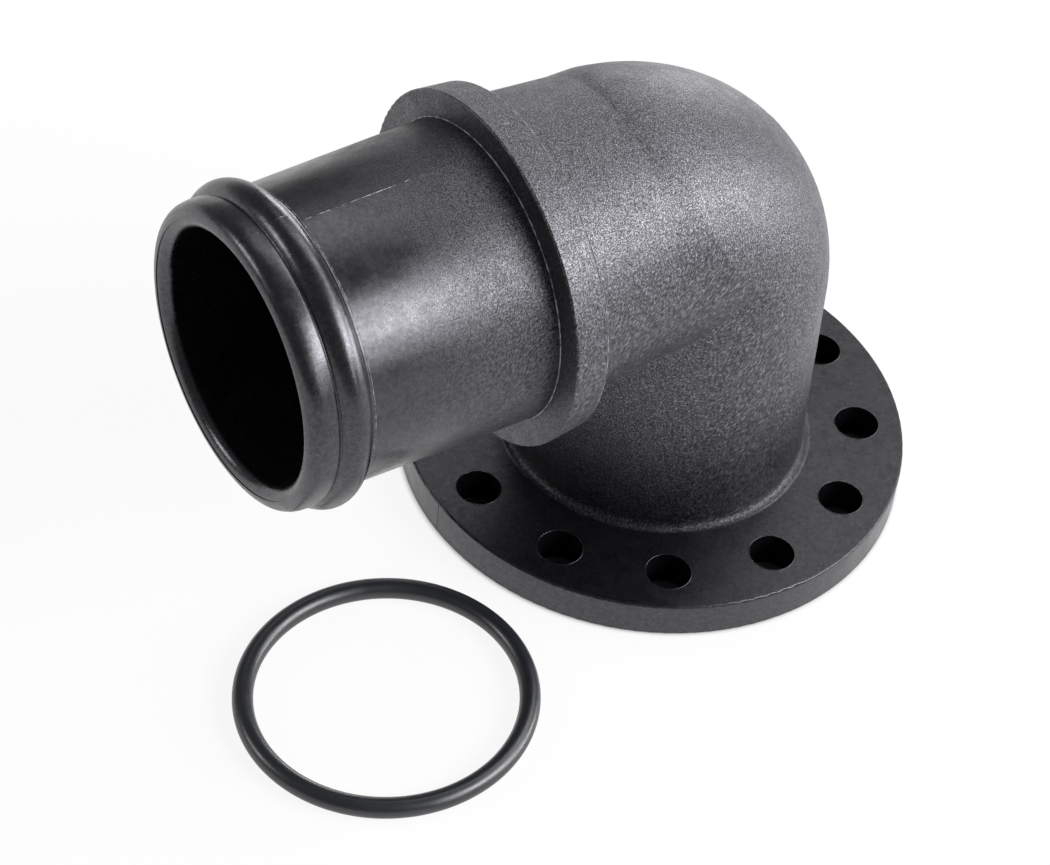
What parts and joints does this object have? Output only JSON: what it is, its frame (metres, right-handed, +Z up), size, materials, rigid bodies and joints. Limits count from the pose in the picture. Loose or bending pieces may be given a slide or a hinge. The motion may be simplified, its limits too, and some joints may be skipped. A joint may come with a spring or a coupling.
{
  "type": "hose elbow adapter",
  "caption": "Moulded right-angle hose adapter: bolted round flange at the foot, beaded hose spigot with a stop collar, and a loose rubber ring that seals the flange.",
  "frame": {"origin": "centre of the flange's sealing face, on the axis of the barrel", "axes": "+Z up the barrel away from the sealing face, +X out along the hose spigot"},
  "size_m": [0.144, 0.0988, 0.0931],
  "materials": {
    "moulded_nylon": "black glass filled nylon, injection moulded, fine spark texture",
    "seal_rubber": "smooth nitrile rubber"
  },
  "bodies": {
    "root": {"elbow_body": "moulded_nylon", "seal_ring": "seal_rubber"}
  },
  "joints": []
}
